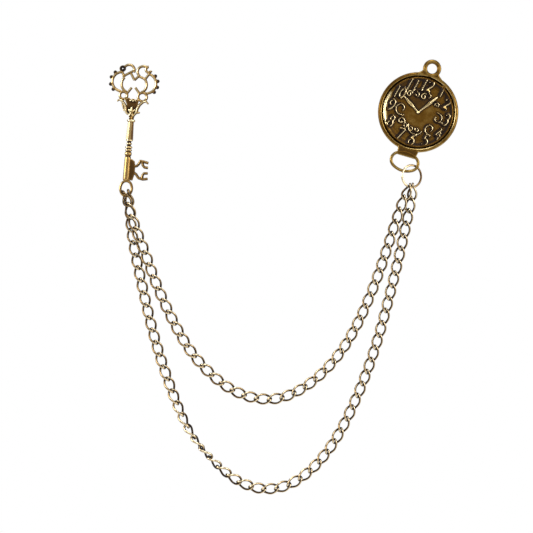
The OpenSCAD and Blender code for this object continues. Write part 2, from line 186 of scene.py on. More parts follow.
def joined(bm, other):
    """Adds the shape other to bm and frees it."""
    mesh = bpy.data.meshes.new("joined")
    other.to_mesh(mesh)
    other.free()
    bm.from_mesh(mesh)
    bpy.data.meshes.remove(mesh)


def lathe(bm, profile, place=Matrix.Identity(4), steps=96):
    """A solid turned from its profile of (radius, height), about Z."""
    blank = bmesh.new()
    chain = [blank.verts.new((r, 0, z)) for r, z in profile]
    edges = [blank.edges.new(pair) for pair in zip(chain, chain[1:])]
    bmesh.ops.spin(blank, geom=chain + edges, axis=(0, 0, 1), cent=(0, 0, 0), angle=FULL_TURN, steps=steps,
                   use_merge=True)
    bmesh.ops.remove_doubles(blank, verts=blank.verts, dist=SAME_POINT)
    bmesh.ops.recalc_face_normals(blank, faces=blank.faces)
    bmesh.ops.transform(blank, matrix=place, verts=blank.verts)
    joined(bm, blank)


def rubbed(bm, profile, measured):
    """Gives every point of a turned shape the wear of the nearest row of its profile, and smooths it.

    measured gives a point's radius and height on the lathe."""
    wear = bm.verts.layers.float.new("wear")
    for vert in bm.verts:
        r, height = measured(vert.co)
        vert[wear] = min(profile, key=lambda row: abs(row[0] - r) + abs(row[1] - height))[2]
    for face in bm.faces:
        face.smooth = True


# Cast pieces.
def cast(name, bm, voxel, rounds, place, tarnish_and_light, cut=None, plain=None):
    """Fuses overlapping shapes into one casting, rounds it, and records how proud or sunken each point is.

    voxel is the size of the finest detail, and rounds says how often it is smoothed. tarnish_and_light
    gives the share of wear that is left to each point, with its painted light and shade, cut is the height
    of a flat hidden underside, and plain holds parts that are added as they are."""
    bmesh.ops.remove_doubles(bm, verts=bm.verts, dist=SAME_POINT)
    bmesh.ops.recalc_face_normals(bm, faces=bm.faces)
    rough = bpy.data.meshes.new(name + "_rough")
    bm.to_mesh(rough)
    bm.free()
    mould = bpy.data.objects.new(name + "_rough", rough)
    bpy.context.collection.objects.link(mould)
    remesh = mould.modifiers.new("fuse", "REMESH")
    remesh.mode = "VOXEL"
    remesh.voxel_size = voxel
    remesh.use_smooth_shade = True
    soften = mould.modifiers.new("soften", "SMOOTH")
    soften.factor = 0.5
    soften.iterations = rounds
    # Smoothing makes thin shapes thinner, and the fill gives that back.
    fill = mould.modifiers.new("fill", "DISPLACE")
    fill.strength = rounds * voxel * voxel
    fill.mid_level = 0
    depsgraph = bpy.context.evaluated_depsgraph_get()
    mesh = bpy.data.meshes.new_from_object(mould.evaluated_get(depsgraph))
    bpy.data.objects.remove(mould)
    mesh.name = name
    record_wear_and_light(mesh, tarnish_and_light)
    if cut is not None:
        flat_backed(mesh, cut)
    if plain:
        whole = bmesh.new()
        whole.from_mesh(mesh)
        joined(whole, plain)
        whole.to_mesh(mesh)
        whole.free()
    mesh.transform(UPRIGHT @ place)
    piece = bpy.data.objects.new(name, mesh)
    bpy.context.collection.objects.link(piece)
    return piece


def flat_backed(mesh, height):
    """Takes the hidden underside away below a height and closes the cut with one flat face."""
    bm = bmesh.new()
    bm.from_mesh(mesh)
    cut = bmesh.ops.bisect_plane(bm, geom=bm.verts[:] + bm.edges[:] + bm.faces[:], plane_co=(0, 0, height),
                                 plane_no=(0, 0, 1), clear_inner=True)["geom_cut"]
    rim = of_kind(cut, bmesh.types.BMEdge)
    for face in bmesh.ops.edgeloop_fill(bm, edges=rim)["faces"]:
        face.smooth = False
    for edge in rim:
        edge.smooth = False
    bmesh.ops.recalc_face_normals(bm, faces=bm.faces)
    bm.to_mesh(mesh)
    bm.free()


def softened(values, edges, degree, rounds):
    """The columns of values after rounds of averaging with their neighbours."""
    count = len(values)
    start, end = edges.T
    for _ in range(rounds):
        total = np.empty_like(values)
        for i, column in enumerate(values.T):
            total[:, i] = (np.bincount(start, weights=column[end], minlength=count)
                           + np.bincount(end, weights=column[start], minlength=count))
        values = values * OWN_SHARE + total / degree * (1 - OWN_SHARE)
    return values


def rows_of(items, name, width, kind=np.float64):
    """One property of every item of a mesh, a row for each."""
    values = np.empty(len(items) * width, dtype=kind)
    items.foreach_get(name, values)
    return values.reshape(-1, width)


def record_wear_and_light(mesh, tarnish_and_light):
    """Stores 0 in hollows, 0.5 on even ground and 1 on proud edges, times the part's painted light and
    shade, as the attribute wear.
    """
    points = rows_of(mesh.vertices, "co", 3)
    normals = rows_of(mesh.vertex_normals, "vector", 3)
    edges = rows_of(mesh.edges, "vertices", 2, np.int64)
    degree = np.bincount(edges.ravel(), minlength=len(points)).clip(1)[:, None]
    near = softened(points, edges, degree, NEAR_ROUNDS)
    far = softened(near, edges, degree, FAR_ROUNDS)
    edge = ((points - near) * normals).sum(axis=1) / EDGE_DEPTH
    hollow = ((points - far) * normals).sum(axis=1) / HOLLOW_DEPTH
    relief = softened((edge + hollow.clip(*HOLLOW_LIMITS))[:, None], edges, degree, BLUR_ROUNDS)[:, 0]
    # Relief gives patina and wear, and tarnish_and_light adds each part's painted light and shade.
    wear = np.clip(0.5 + relief, 0, 1) * tarnish_and_light(points, normals)
    mesh.attributes.new("wear", "FLOAT", "POINT").data.foreach_set("value", wear.astype(np.float32))


# Watch charm.
# Each scroll is a curl: its middle, its first and last radius, and its first and last direction.
DIAL_SCROLLS = [
    (-4.35, 4.75, 1.05, 0.3, 20, 400), (-2.0, 5.1, 0.95, 0.3, 130, -150), (0.25, 5.1, 1.1, 0.3, 60, 400),
    (1.75, 5.6, 0.75, 0.35, 110, -70), (-5.5, -0.3, 2.2, 0.6, 310, -60),
    (-4.5, -4.1, 1.3, 0.35, -30, 330), (-2.9, -5.2, 0.75, 0.3, 100, -160),
    (0.5, -4.6, 2.45, 2.35, 172, 338), (-0.8, -5.7, 0.8, 0.25, 200, -90),
    (1.15, -5.4, 0.8, 0.25, 150, 440), (4.85, -4.1, 1.75, 0.5, 280, -90),
    (6.2, -0.3, 1.75, 0.5, 115, -235), (5.0, 3.7, 0.85, 0.3, 200, -120), (0, 0, 7, 7, 76, 118),
]

HOUR_PLACES = {
    1: (5.2, 8.4), 2: (7.6, 4.9), 3: (8.8, 0.2), 4: (7.8, -4.8), 5: (4.5, -7.8), 6: (0.4, -8.7),
    7: (-3.6, -8.0), 8: (-7.5, -5.0), 9: (-8.8, -0.1), 10: (-7.5, 4.4), 11: (-4.3, 7.7), 12: (0.1, 8.6),
}

# The strokes of each figure round its middle, one unit high.
NUMERAL_STROKES = {
    0: [curl(0, 0, 0.22, 0.22, 0, 372, 1.9)],
    1: [[(-0.14, 0.3), (0.04, 0.5)], [(0.04, 0.5), (0.04, 0), (0.04, -0.5)]],
    2: [curl(0, 0.24, 0.24, 0.24, 165, -40), [(0.2, 0.12), (-0.26, -0.44)],
        [(-0.28, -0.42), (0.28, -0.42)]],
    3: [curl(0, 0.24, 0.22, 0.22, 150, -80), curl(0, -0.22, 0.26, 0.26, 85, -150)],
    4: [[(0.1, 0.5), (-0.26, -0.14)], [(-0.3, -0.16), (0.3, -0.16)], [(0.12, 0.2), (0.12, -0.5)]],
    5: [[(0.24, 0.44), (-0.2, 0.44)], [(-0.17, 0.46), (-0.19, 0.02)],
        curl(-0.02, -0.18, 0.26, 0.26, 125, -140)],
    6: [curl(0, -0.2, 0.24, 0.24, 0, 372), curl(0.28, -0.14, 0.52, 0.6, 182, 98)],
    7: [[(-0.26, 0.42), (0.28, 0.42)], [(0.24, 0.44), (-0.1, -0.5)]],
    8: [curl(0, 0.25, 0.19, 0.19, 0, 372), curl(0, -0.21, 0.24, 0.24, 0, 372)],
    9: [curl(0, 0.2, 0.24, 0.24, 0, 372), curl(-0.28, 0.14, 0.52, 0.6, 2, -82)],
}


# Length, direction and half width of each hand.
HANDS = ((6.5, 147.5, 0.58), (7.7, 54, 0.54))

# Half of the dial's section: radius, and height over its floor.
DIAL_PROFILE = [
    (0, -0.7), (10.95, -0.7), (10.95, 0.3), (10.75, 0.42), (10.3, 0.24), (9.7, 0.07), (9.1, -0.02),
    (0, -0.02),
]

SCROLL_BEAD = 0.36
HUB_RADIUS = 0.42

# What painted shade, painted highlights and painted reflection take from the wear of the dial or add to
# it, and how much darker the ground between the hands is, as shares.
FIGURES_PAINTED_SHADE = 0.82
FLANKS_PAINTED_HIGHLIGHT = 1.3
EDGE_PAINTED_SHADE = 0.5
CRESCENT_PAINTED_REFLECTION = 1.05
GROUND_DARK = 0.35


def numeral(bm, digit, x, y):
    for stroke in NUMERAL_STROKES[digit]:
        run = []
        for p in stroke:
            across = p[0] * NUMERAL_WIDTH + p[1] * NUMERAL_SLANT
            run.append(Vector((x + NUMERAL_HEIGHT * across, y + NUMERAL_HEIGHT * p[1], DIAL + 0.1)))
        rod(bm, run, NUMERAL_STROKE, tall=1.2)


def hour_marks(bm):
    shift = FIGURE_SHIFT * NUMERAL_HEIGHT
    for hour, (x, y) in HOUR_PLACES.items():
        if hour < 10:
            numeral(bm, hour, x, y)
        else:
            numeral(bm, 1, x - shift, y)
            numeral(bm, hour - 10, x + shift, y)


def scrolls(bm):
    """The scrolls on the dial, each with a bead where it curls up to an end."""
    for x, y, first_r, last_r, first_a, last_a in DIAL_SCROLLS:
        run = lifted(curl(x, y, first_r, last_r, first_a, last_a), DIAL + 0.08)
        rod(bm, run, swell(len(run), ends=0.22, middle=0.33, where=0.35), tall=1.5)
        if last_r < 0.5:
            ball(bm, run[-1].x, run[-1].y, DIAL + 0.1, SCROLL_BEAD)


def hand(bm, length, degrees, width):
    """A hand that is thin at the middle of the dial, widens like a leaf and ends in a point."""
    way = turned((1, 0), degrees)
    shares = (-0.06, 0.05, 0.3, 0.45, 0.6, 0.75, 0.9, 1.0)
    run = [Vector((way.x * length * t, way.y * length * t, DIAL + 0.22)) for t in shares]
    rod(bm, run, [0.24, 0.27, 0.24, width * 0.8, width, width * 0.8, 0.28, 0.1])


def watch_dial():
    bm = bmesh.new()
    lathe(bm, [(r, DIAL + z) for r, z in DIAL_PROFILE])
    hour_marks(bm)
    scrolls(bm)
    for length, degrees, width in HANDS:
        hand(bm, length, degrees, width)
    ball(bm, 0, 0, DIAL + 0.2, HUB_RADIUS)
    return cast("watch_dial", bm, voxel=0.088, rounds=2, place=WATCH_PLACE, tarnish_and_light=dial_painted_light,
                cut=DIAL - 0.35)


def dial_painted_light(points, normals):
    """The raised figures and scrolls carry painted shade but for their right flanks, which carry a painted
    highlight, and the ground between the hands is darker. The hands are left out of this. The edge of the
    dial carries painted shade, with a painted reflection on its left."""
    x, y, z = points.T
    reach = np.hypot(x, y)
    raised = ramp(z, DIAL + 0.1, DIAL + 0.3) * (reach < 10.5)
    for length, degrees, width in HANDS:
        way = turned((1, 0), degrees)
        along = x * way.x + y * way.y
        across = y * way.x - x * way.y
        on_hand = (abs(across) < width + 0.25) & (along > -0.6) & (along < length)
        raised = np.where(on_hand, 0, raised)
    # Painted highlight on the right flanks of the figures and scrolls, painted shade on the rest of them.
    right = turned((1, 0), WATCH_LEAN)
    painted_flank_highlight = ramp(normals[:, 0] * right.x + normals[:, 1] * right.y, 0, 0.3125)
    figures_painted_light = 1 - FIGURES_PAINTED_SHADE * raised * (1 - painted_flank_highlight) + FLANKS_PAINTED_HIGHLIGHT * raised * painted_flank_highlight
    # Painted reflection in a crescent on the dial's left edge, painted shade round the rest of its edge.
    left = turned((1, 0), WATCH_LEAN + 172)
    painted_crescent = ramp((x * left.x + y * left.y) / (reach + 0.001), 0.85, 0.93)
    edge = 1 + ramp(reach, 9.45, 9.95) * (CRESCENT_PAINTED_REFLECTION * painted_crescent - EDGE_PAINTED_SHADE)
    # Darker ground between the hands.
    around = np.degrees(np.arctan2(y, x))
    ground = (around > 60) & (around < 141) & (reach > 1) & (reach < 6.5) & (raised < 0.5)
    return figures_painted_light * edge * (1 - GROUND_DARK * ground)


# Half of the case's section, from the middle of its back round the rim to the plate under the dial:
# radius, height over the back, and wear.
CASE_PROFILE = [
    (0, 0.06, 0.5), (6.0, 0.05, 0.5), (6.15, 0.02, 0.6), (10.1, 0.02, 0.6), (10.25, 0.06, 0.45),
    (11.4, 0.0, 0.5), (12.0, 0.06, 0.55), (12.35, 0.3, 0.65), (12.54, 0.65, 0.8), (12.58, 0.9, 0.85),
    (12.5, 1.2, 0.75), (12.3, 1.46, 0.56), (12.05, 1.58, 0.5), (11.8, 1.62, 0.56), (11.6, 1.56, 0.8),
    (11.48, 1.4, 0.55), (11.42, 1.1, 0.4), (11.4, 0.75, 0.36), (10.5, 0.7, 0.2), (10.4, 0.8, 0.2),
    (0, 0.8, 0.2),
]
LUG_PLACE = (0.3, 14.27)
LUG_RADIUS = 2.2
LUG_WIRE = 0.62                 # radius of the wire, as for the bow
BOW_PLACE = (0.3, -16.0)
BOW_WIRE = 0.42
LUG_FOOT = [
    (-4.0, 11.6), (-2.6, 12.6), (-2.1, 13.5), (-1.1, 12.6), (0.3, 12.3), (1.6, 12.7), (2.6, 13.5),
    (3.1, 12.6), (4.7, 11.35), (3.0, 11.6), (0.3, 11.9), (-2.4, 11.7),
]
BOW_TAB = [(-3.0, -11.6), (3.6, -11.6), (3.35, -13.0), (3.2, -14.3), (-2.55, -14.3), (-2.8, -13.0)]
RIM_LEFT_PAINTED_SHADE = 0.2                  # painted shade on the rim's left


def oval(half_w, half_h, end_r, count=72):
    """Points round an oval of four arcs. The arcs at its narrow ends have the radius end_r."""
    long_half, short_half = max(half_w, half_h), min(half_w, half_h)
    run = long_half - end_r
    painted_flank_highlight = (run * run + short_half * short_half - end_r * end_r) / (2 * (short_half - end_r))
    split = math.atan2(painted_flank_highlight - short_half, run)
    quarter = count // 4
    half = []
    for i in range(quarter):
        a = -split + 2 * split * i / quarter
        half.append((run + end_r * math.cos(a), end_r * math.sin(a)))
    for i in range(quarter):
        a = split + (math.pi - 2 * split) * i / quarter
        half.append((painted_flank_highlight * math.cos(a), short_half - painted_flank_highlight + painted_flank_highlight * math.sin(a)))
    tipped = 0 if half_w > half_h else 90
    return [turned(p, half_turn + tipped).to_3d() for half_turn in (0, 180) for p in half]


def watch_lug(bm):
    ring = curl(LUG_PLACE[0], LUG_PLACE[1], LUG_RADIUS, LUG_RADIUS, 0, 370, step=8)
    rod(bm, lifted(ring, HANG), LUG_WIRE, tall=1.05, sides=16)
    slab(bm, LUG_FOOT, HANG - 0.5, HANG + 0.4)


def watch_bow(bm):
    slab(bm, BOW_TAB, BACK + 0.15, BACK + 1.5)
    bow = [p + Vector((*BOW_PLACE, HANG)) for p in oval(half_w=4.3, half_h=2.9, end_r=2.35)]
    rod(bm, bow + bow[:2], BOW_WIRE, sides=12)


def case_body():
    body = bmesh.new()
    lathe(body, [(r, BACK + z) for r, z, _ in CASE_PROFILE], steps=160)
    rubbed(body, CASE_PROFILE, lambda co: (math.hypot(co.x, co.y), co.z - BACK))
    wear = body.verts.layers.float["wear"]
    left = turned((1, 0), WATCH_LEAN + 160)
    for vert in body.verts:
        # Painted shade on the rim's left.
        vert[wear] *= 1 - RIM_LEFT_PAINTED_SHADE * max(0, (vert.co.x * left.x + vert.co.y * left.y) / 12)
    return body


def watch_case():
    bm = bmesh.new()
    watch_lug(bm)
    watch_bow(bm)
    return cast("watch_case", bm, voxel=0.09, rounds=8, place=WATCH_PLACE, tarnish_and_light=case_tone_and_painted_shade,
                plain=case_body())


def case_tone_and_painted_shade(points, normals):
    """The lug, the tab and the bow are duller than the rim, and the bow has painted shade on its lower
    sides and painted light on its upper ones.
    """
    return 0.7 + 0.14 * normals[:, 1] * (points[:, 1] < -14.6)


# Key charm.
# The bars of the pierced bow are curls: middle, first and last radius, first and last direction.
BOW_BARS = [
    (-3.95, 12.0, 3.0, 3.0, 98, 264), (3.65, 12.05, 3.1, 3.1, -85, 80),
    (-1.25, 11.45, 2.75, 2.75, 137, 232), (1.1, 11.45, 2.75, 2.75, -50, 50),
    (-4.05, 16.1, 0.62, 0.62, 0, 372), (-1.95, 15.75, 1.75, 1.6, 150, -20),
    (2.35, 15.5, 1.95, 1.6, 42, 232), (4.08, 16.4, 0.95, 0.8, 95, 345), (-3.1, 7.75, 1.15, 1.15, 0, 372),
    (2.85, 7.75, 1.35, 1.35, 0, 372),
]
# Its struts run from one point to another.
BOW_STRUTS = [
    (-4.3, 15.3, -3.2, 13.5), (-3.9, 13.6, -0.4, 15.8), (-1.4, 14.9, -0.1, 12.8), (-0.1, 12.8, 1.2, 14.2),
    (1.1, 14.15, 3.2, 13.4), (3.2, 13.3, 4.5, 15.4), (-2.75, 9.4, -2.3, 8.6), (2.75, 9.5, 2.2, 8.8),
    (-1.95, 8.6, -0.75, 10.4), (1.85, 8.75, 0.35, 10.5), (-4.6, 9.15, -3.6, 8.6), (4.1, 9.1, 3.6, 8.7),
]
BAR_WIRE = 0.4                  # radii of the bars and of the struts
STRUT_WIRE = 0.38
# Directions of the beads outside the two large bars.
LEFT_BEADS = (130, 161, 197, 226)
RIGHT_BEADS = (44, 16, -14, -42)
BEAD_RADIUS = 0.56
BEAD_REACH = 0.6                # how far outside a bar's middle the beads are

FLEUR = [
    (-2.6, 6.6), (-1.3, 7.2), (-0.7, 6.7), (0, 6.95), (0.8, 6.75), (1.9, 6.8), (1.5, 5.0), (1.15, 3.4),
    (1.2, 2.5), (0.75, 1.2), (0.6, 0.2), (-0.6, 0.2), (-0.75, 1.2), (-1.4, 2.5), (-1.45, 3.6), (-1.9, 5.2),
]
LEAF_LEFT = [(-4.9, 5.8), (-4.2, 6.35), (-3.4, 6.0), (-2.6, 5.1), (-2.05, 3.9), (-1.85, 2.7), (-1.2, 2.0)]
LEAF_RIGHT = [(4.9, 5.7), (4.1, 6.45), (3.2, 6.2), (2.2, 5.2), (1.6, 3.9), (1.4, 2.8), (0.9, 2.0)]
LEAF_RADII = [0.24, 0.32, 0.42, 0.46, 0.46, 0.42, 0.34]
LOW_LEAF_LEFT = [(-3.2, 5.2), (-2.8, 4.2), (-2.4, 3.3), (-2.75, 3.0)]
LOW_LEAF_RIGHT = [(1.2, 2.7), (1.9, 2.7), (2.5, 2.8)]
# The small leaves in the middle all start at one point.
SMALL_LEAF_START = (-0.1, 2.5)
SMALL_LEAF_TIPS = ((-1.1, 3.5), (0.9, 3.5), (-0.85, 1.4), (0.65, 1.4), (-0.1, 4.3))

# Half of the section of the key's turned parts: radius, height on the key, and wear.
TURNED_PROFILE = [
    (0, 1.5, 0.5), (0.68, 1.4, 0.6), (0.72, 0.6, 0.4), (0.9, 0.42, 0.2), (1.15, 0.36, 0.8),
    (1.28, 0.22, 1.0), (1.28, -0.1, 1.0), (1.12, -0.3, 0.6), (0.88, -0.42, 0.15), (0.8, -0.5, 0.15),
    (0.8, -5.75, 0.15), (0.95, -5.8, 0.2), (1.04, -5.9, 0.9), (1.08, -6.1, 1.0), (1.0, -6.3, 0.7),
    (0.66, -6.4, 0.15), (0.62, -6.7, 0.1), (0.66, -6.9, 0.3), (0.86, -7.0, 0.85), (0.9, -7.2, 0.95),
    (0.84, -7.36, 0.5), (0.62, -7.45, 0.1), (0.64, -7.9, 0.15), (1.05, -8.05, 0.6), (1.14, -8.3, 1.0),
    (1.05, -8.55, 0.6), (0.72, -8.65, 0.1), (0.7, -8.85, 0.1), (1.0, -8.98, 0.6), (1.08, -9.2, 0.95),
    (1.0, -9.4, 0.5), (0.72, -9.5, 0.1), (0.86, -9.65, 0.3), (1.03, -9.95, 0.6), (1.1, -10.3, 0.75),
    (1.05, -10.65, 0.6), (0.92, -10.95, 0.3), (0.78, -11.15, 0.1), (0.88, -11.3, 0.4), (0.96, -11.5, 0.7),
    (0.98, -12.2, 0.6), (1.0, -15.0, 0.62), (1.0, -18.2, 0.66), (0.92, -18.6, 0.6), (0.7, -18.85, 0.5),
    (0, -18.95, 0.5),
]
# The eight-sided shaft tapers downwards. Its facets carry painted light and shade by the side that they
# turn to.
SHAFT_RADII = (1.19, 0.94)
SHAFT_LENGTH = 5.4
SHAFT_MIDDLE = -3.12
LEFT_FACET_PAINTED_LIGHT = 0.9
FRONT_FACET_PAINTED_LIGHT = 0.72
RIGHT_FACET_PAINTED_SHADE = 0.3
RIGHT_PAINTED_SHADE = 0.25               # painted shade on the right of every turned part

BIT_PLATE = [
    (0.4, -11.9), (1.3, -11.9), (2.2, -12.5), (2.45, -14.0), (2.5, -16.3), (1.95, -18.5), (0.7, -18.5),
]
BIT_ARMS = [
    [(2.1, -14.1), (3.0, -13.9), (3.6, -13.2), (4.0, -12.3)],
    [(3.7, -12.25), (4.9, -12.35), (6.5, -12.7)],
    [(4.6, -12.4), (4.85, -13.5), (5.4, -14.1), (6.5, -14.2)],
    [(2.2, -16.0), (3.0, -16.5), (3.6, -17.3), (4.0, -17.7)],
    [(3.8, -17.6), (5.2, -17.9), (6.7, -17.6)],
    [(4.9, -17.7), (5.0, -16.7), (5.4, -16.0), (6.6, -15.9)],
]
ARM_WIRE = 0.42
END_RING_PLACE = (0.28, -21.15)
END_RING_WIRE = 0.39

# What tarnish, rubbing, painted shade and painted light take from the wear of the key's parts or add to
# it, as shares.
BEADS_PAINTED_SHADE = 0.9
GROUND_DULL = 0.1
BIT_DULL = 0.2
END_RING_DULL = 0.2
LEAVES_RUBBED = 0.3
PLAIN_SHARE = 0.38              # painted light that every side keeps
TOP_PAINTED_LIGHT = 0.36                # painted light that faces looking out of the cloth keep besides
LEFT_SIDE_PAINTED_LIGHT = 0.48               # painted light that left sides keep besides, and painted shade that right sides lose
UPPER_SIDE_PAINTED_LIGHT = 0.18              # the same painted light and shade for upper and lower sides


def key_bow(bm):
    for x, y, first_r, last_r, first_a, last_a in BOW_BARS:
        bar = lifted(curl(x, y, first_r, last_r, first_a, last_a, step=9), BOW_MID)
        rod(bm, bar, BAR_WIRE, tall=1.4, sides=10)
    for x0, y0, x1, y1 in BOW_STRUTS:
        strut = lifted([(x0, y0), ((x0 + x1) / 2, (y0 + y1) / 2), (x1, y1)], BOW_MID)
        rod(bm, strut, STRUT_WIRE, tall=1.4, sides=10)
    for bar, beads in ((BOW_BARS[0], LEFT_BEADS), (BOW_BARS[1], RIGHT_BEADS)):
        reach = bar[2] + BEAD_REACH
        for degrees in beads:
            a = math.radians(degrees)
            ball(bm, bar[0] + reach * math.cos(a), bar[1] + reach * math.sin(a), BOW_MID, BEAD_RADIUS)


def key_leaves(bm):
    slab(bm, FLEUR, BACK + 0.1, BACK + 1.3)
    for leaf in (LEAF_LEFT, LEAF_RIGHT):
        rod(bm, lifted(leaf, BACK + 1.0), LEAF_RADII, tall=1.5, sides=10)
    rod(bm, lifted(LOW_LEAF_LEFT, BACK + 0.8), [0.3, 0.36, 0.34, 0.22], tall=1.5)
    rod(bm, lifted(LOW_LEAF_RIGHT, BACK + 1.0), [0.4, 0.34, 0.22], tall=1.5)
    for x in (-0.4, 0.6):
        eye = curl(x, 6.2, 0.32, 0.32, 200, -20)
        rod(bm, lifted(eye, BACK + 1.35), 0.22, tall=1.4)
    start = SMALL_LEAF_START
    for tip in SMALL_LEAF_TIPS:
        middle = ((tip[0] + start[0]) / 2, (tip[1] + start[1]) / 2)
        rod(bm, lifted([start, middle, tip], BACK + 1.45), [0.46, 0.42, 0.26], tall=1.2, sides=10)


def facet_painted_light(lean):
    """Painted light and shade of a facet of the shaft by how far it leans to the right, from -1 to 1."""
    if abs(lean) < 0.5:
        return FRONT_FACET_PAINTED_LIGHT
    return LEFT_FACET_PAINTED_LIGHT if -0.9 < lean < 0 else RIGHT_FACET_PAINTED_SHADE


def faceted_shaft(along):
    shaft = bmesh.new()
    flat_front = Matrix.Rotation(math.radians(22.5), 4, "Z")
    place = Matrix.Translation((0, SHAFT_MIDDLE, 0)) @ along @ flat_front
    bmesh.ops.create_cone(shaft, cap_ends=True, segments=8, radius1=SHAFT_RADII[0], radius2=SHAFT_RADII[1],
                          depth=SHAFT_LENGTH, matrix=place)
    long_edges = [e for e in shaft.edges if all(len(f.verts) == 4 for f in e.link_faces)]
    bmesh.ops.bevel(shaft, geom=long_edges, offset=0.06, segments=1, profile=0.5, affect="EDGES",
                    material=-1)
    shaft.normal_update()
    wear = shaft.verts.layers.float.new("wear")
    for vert in shaft.verts:
        sides = [f for f in vert.link_faces if abs(f.normal.y) < 0.5]
        vert[wear] = facet_painted_light(max(sides, key=lambda f: f.calc_area()).normal.x)
    return shaft


def key_stem():
    """The turned parts of the key with the shaft, which is set in between two collars."""
    along = Matrix.Translation((0, 0, KEY_AXIS)) @ Matrix.Rotation(math.radians(-90), 4, "X")
    body = bmesh.new()
    lathe(body, [(r, y) for r, y, _ in TURNED_PROFILE], along, steps=48)
    rubbed(body, TURNED_PROFILE, lambda co: (math.hypot(co.x, co.z - KEY_AXIS), co.y))
    joined(body, faceted_shaft(along))
    body.normal_update()
    wear = body.verts.layers.float["wear"]
    # Painted shade on the right sides of the turned parts and the shaft.
    for vert in body.verts:
        vert[wear] *= 1 - RIGHT_PAINTED_SHADE * max(vert.normal.x, 0)
    return body


def key_bit(bm):
    slab(bm, BIT_PLATE, BACK + 0.3, BACK + 1.5)
    for arm in BIT_ARMS:
        rod(bm, lifted(arm, BACK + 0.9), ARM_WIRE, tall=1.6, sides=10)


def key_end_ring(bm):
    ring = [p + Vector((*END_RING_PLACE, KEY_AXIS)) for p in oval(half_w=1.8, half_h=2.3, end_r=1.6)]
    rod(bm, ring + ring[:2], END_RING_WIRE, sides=12)


def key_casting():
    bm = bmesh.new()
    key_bow(bm)
    key_leaves(bm)
    key_bit(bm)
    key_end_ring(bm)
    return cast("key_casting", bm, voxel=0.085, rounds=5, place=KEY_PLACE, tarnish_and_light=key_tarnish_and_painted_light,
                plain=key_stem())


def key_tarnish_and_painted_light(points, normals):
    """Painted shade on the beads round the bow, dull ground between rubbed leaves, a dull bit and end
    ring, and painted light that leaves sides darker than tops, most of all the right ones."""
    x, y, z = points.T
    # Painted shade on the beads round the bow and on the small ring at its top left.
    left = np.hypot(x - BOW_BARS[0][0], y - BOW_BARS[0][1]) - BOW_BARS[0][2]
    right = np.hypot(x - BOW_BARS[1][0], y - BOW_BARS[1][1]) - BOW_BARS[1][2]
    beads = ramp(np.where(x < 0, left, right), 0.3, 0.6) * ((abs(x) > 4.6) & (y > 8.8) & (y < 15.4))
    beads = np.maximum(beads, np.hypot(x + 4.05, y - 16.1) < 0.9)
    ground = (abs(x) < 1.8) & (y > 3.4) & (y < 7.3) & (z < BACK + 1.5)
    leaves = ramp(z, BACK + 1.35, BACK + 1.55) * ((y > 1.3) & (y < 7))
    bit = (x > 1.1) & (y < -11.5) & (y > -19)
    end_ring = y < -19.1
    kept = (1 - BEADS_PAINTED_SHADE * beads) * (1 - GROUND_DULL * ground) * (1 + LEAVES_RUBBED * leaves)
    kept = kept * (1 - BIT_DULL * bit) * (1 - END_RING_DULL * end_ring)
    # Painted light on tops and on left and upper sides, painted shade on right and lower sides.
    top = ramp(abs(normals[:, 2]), 0, 0.8)
    key_painted_light = PLAIN_SHARE + TOP_PAINTED_LIGHT * top - LEFT_SIDE_PAINTED_LIGHT * normals[:, 0] + UPPER_SIDE_PAINTED_LIGHT * normals[:, 1]
    return kept * key_painted_light


# Links.
# Points on each strand from the key to the watch: x, y, height, and roll in degrees.
SHORT_ROUTE = [
    (-91.25, -26.95, 2.7, 45), (-89.95, -30.9, 3.5, 19), (-88.6, -35.0, 3.9, 10), (-87.1, -39.2, 3.6, 0),
    (-85.4, -43.6, 2.9, 0), (-82.4, -52.2, 1.8, 0), (-79.1, -60.0, 1.8, 8), (-75.4, -67.5, 1.8, 0),
    (-71.1, -74.6, 1.8, -10), (-65.7, -80.9, 1.8, 0), (-59.3, -86.0, 1.8, 5), (-51.9, -89.1, 1.8, 0),
    (-43.9, -89.4, 1.8, 0), (-36.2, -86.3, 1.8, -8), (-29.5, -81.0, 1.8, 0), (-24.0, -74.6, 1.8, 5),
    (-19.6, -67.3, 1.8, 0), (-16.1, -59.8, 1.8, -12), (-13.0, -52.1, 1.9, -5), (-10.3, -44.3, 2.0, -10),
    (-7.8, -36.5, 2.1, -22), (-5.2, -28.7, 2.6, -30), (-3.45, -24.8, 2.4, -42),
]
LONG_ROUTE = [
    (-90.35, -26.8, 1.65, 45), (-90.2, -30.9, 1.3, 28), (-89.8, -35.1, 1.1, 12), (-89.2, -39.7, 1.05, 0),
    (-88.4, -44.2, 1.2, 0), (-86.6, -52.7, 1.7, 0), (-84.8, -60.7, 1.8, -5), (-82.9, -68.5, 1.8, 0),
    (-80.7, -76.1, 1.8, -10), (-78.1, -83.8, 1.9, -18), (-75.2, -91.4, 1.9, -35),
    (-71.8, -98.7, 1.9, -62), (-67.1, -105.5, 1.9, -96), (-61.5, -111.4, 1.9, -130),
    (-54.9, -115.9, 1.8, -158), (-47.4, -117.7, 1.8, -174), (-39.9, -116.1, 1.8, -180),
    (-33.4, -111.6, 1.8, -176), (-28.1, -105.6, 1.8, -180), (-23.8, -98.7, 1.8, -186),
    (-20.3, -91.5, 1.8, -180), (-17.1, -83.9, 1.8, -178), (-14.3, -76.2, 1.8, -180),
    (-11.9, -68.4, 1.8, -184), (-9.8, -60.6, 1.75, -180), (-7.8, -52.7, 1.7, -182),
    (-5.9, -44.7, 1.6, -185), (-4.1, -36.7, 1.5, -190), (-2.5, -28.9, 1.6, -208),
    (-1.85, -24.85, 1.85, -222),
]
CURVE_STEPS = 12                # straight steps in the curve from each point to the next


